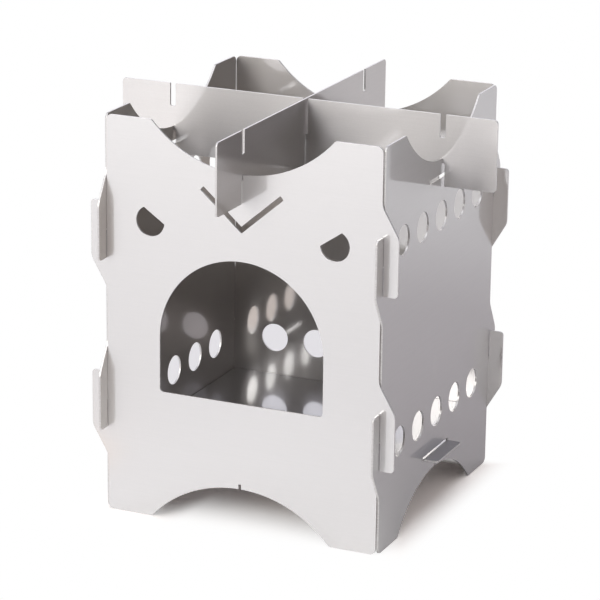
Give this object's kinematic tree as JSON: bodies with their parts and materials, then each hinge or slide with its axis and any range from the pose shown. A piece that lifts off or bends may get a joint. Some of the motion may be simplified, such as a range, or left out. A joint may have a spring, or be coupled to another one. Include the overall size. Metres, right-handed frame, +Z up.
{
  "type": "hobo stove",
  "caption": "Square flat-pack stick stove of slotted stainless sheet: hooked walls with round vents and an arched fuel door, a tabbed floor plate and crossed pot-rest blades.",
  "frame": {"origin": "on the ground under the middle of the stove", "axes": "+Z up, -Y out through the fuel door, +X to the right as seen from the door side"},
  "size_m": [0.2, 0.2, 0.2],
  "materials": {
    "stainless_sheet": "bare cold-rolled stainless sheet, satin with a faint upright grain, laser-cut edges"
  },
  "bodies": {
    "standing_walls": {"front_panel": "stainless_sheet", "right_panel": "stainless_sheet", "back_panel": "stainless_sheet"},
    "left_wall": {"left_panel": "stainless_sheet"},
    "floor": {"floor_plate": "stainless_sheet"},
    "lower_cross_blade": {"lower_blade": "stainless_sheet"},
    "upper_cross_blade": {"upper_blade": "stainless_sheet"}
  },
  "joints": [
    {"name": "left_wall_lift", "type": "slide", "parent": "standing_walls", "child": "left_wall", "axis": [0, 0, 1], "range_m": [0, 0.0145]},
    {"name": "floor_tilt", "type": "hinge", "parent": "standing_walls", "child": "floor", "pos_m": [0.0725, 0, 0.029], "axis": [0, 1, 0], "range_deg": [0, 5.9]},
    {"name": "lower_blade_lift", "type": "slide", "parent": "left_wall", "child": "lower_cross_blade", "axis": [0, 0, 1], "range_m": [0, 0.0145]},
    {"name": "upper_blade_lift", "type": "slide", "parent": "lower_cross_blade", "child": "upper_cross_blade", "axis": [0, 0, 1], "range_m": [0, 0.0185]}
  ],
  "couplings": [
    {"joint": "floor_tilt", "follows": "left_wall_lift", "rad_per_m": 6.9444}
  ]
}
